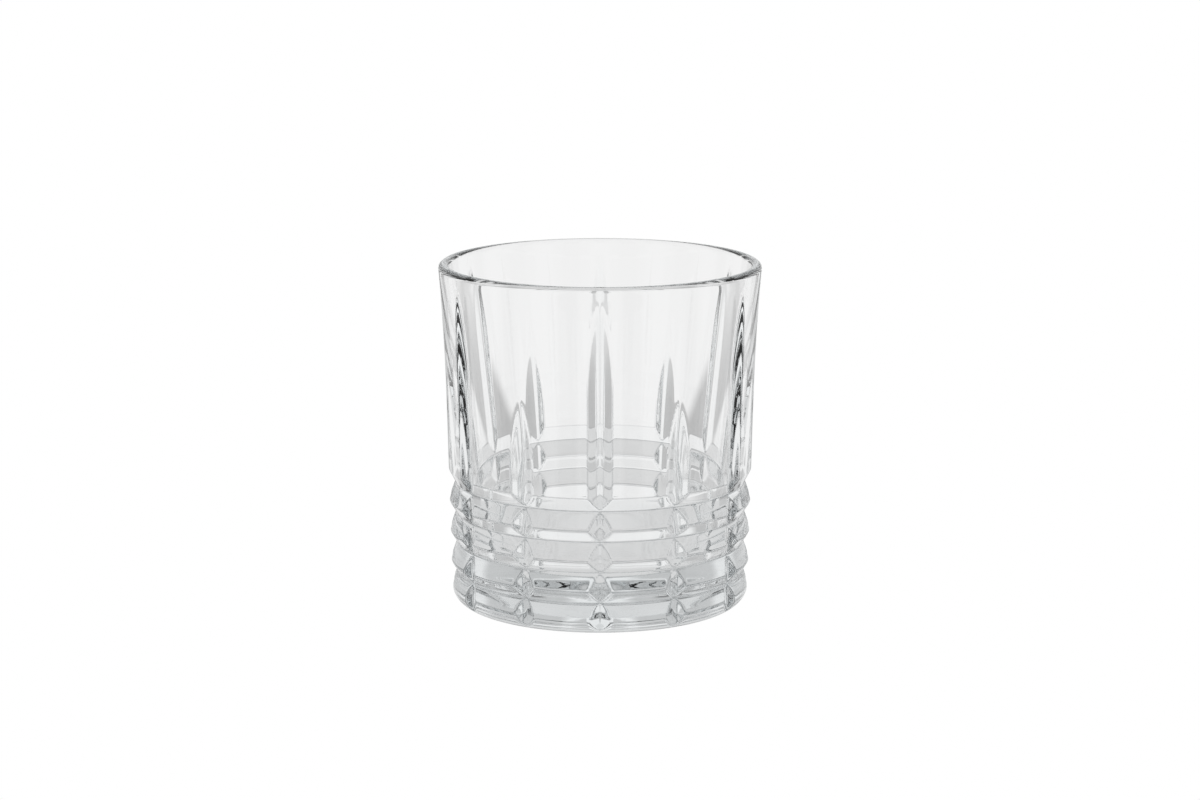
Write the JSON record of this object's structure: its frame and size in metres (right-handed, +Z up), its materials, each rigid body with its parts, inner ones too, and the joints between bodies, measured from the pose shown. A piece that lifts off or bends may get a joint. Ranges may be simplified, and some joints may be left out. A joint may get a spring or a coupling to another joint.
{
  "type": "whiskey tumbler",
  "caption": "Pressed-glass whiskey tumbler with a thick base, upright V flutes long and short in turn, and rings that cut the lower wall into tiers of blocks.",
  "frame": {"origin": "centre of the foot, on the surface that the tumbler stands on", "axes": "+Z up along the tumbler's axis, -Y towards a long flute"},
  "size_m": [0.084, 0.084, 0.09],
  "materials": {
    "clear_glass": "fire polished"
  },
  "bodies": {
    "root": {"tumbler": "clear_glass"}
  },
  "joints": []
}
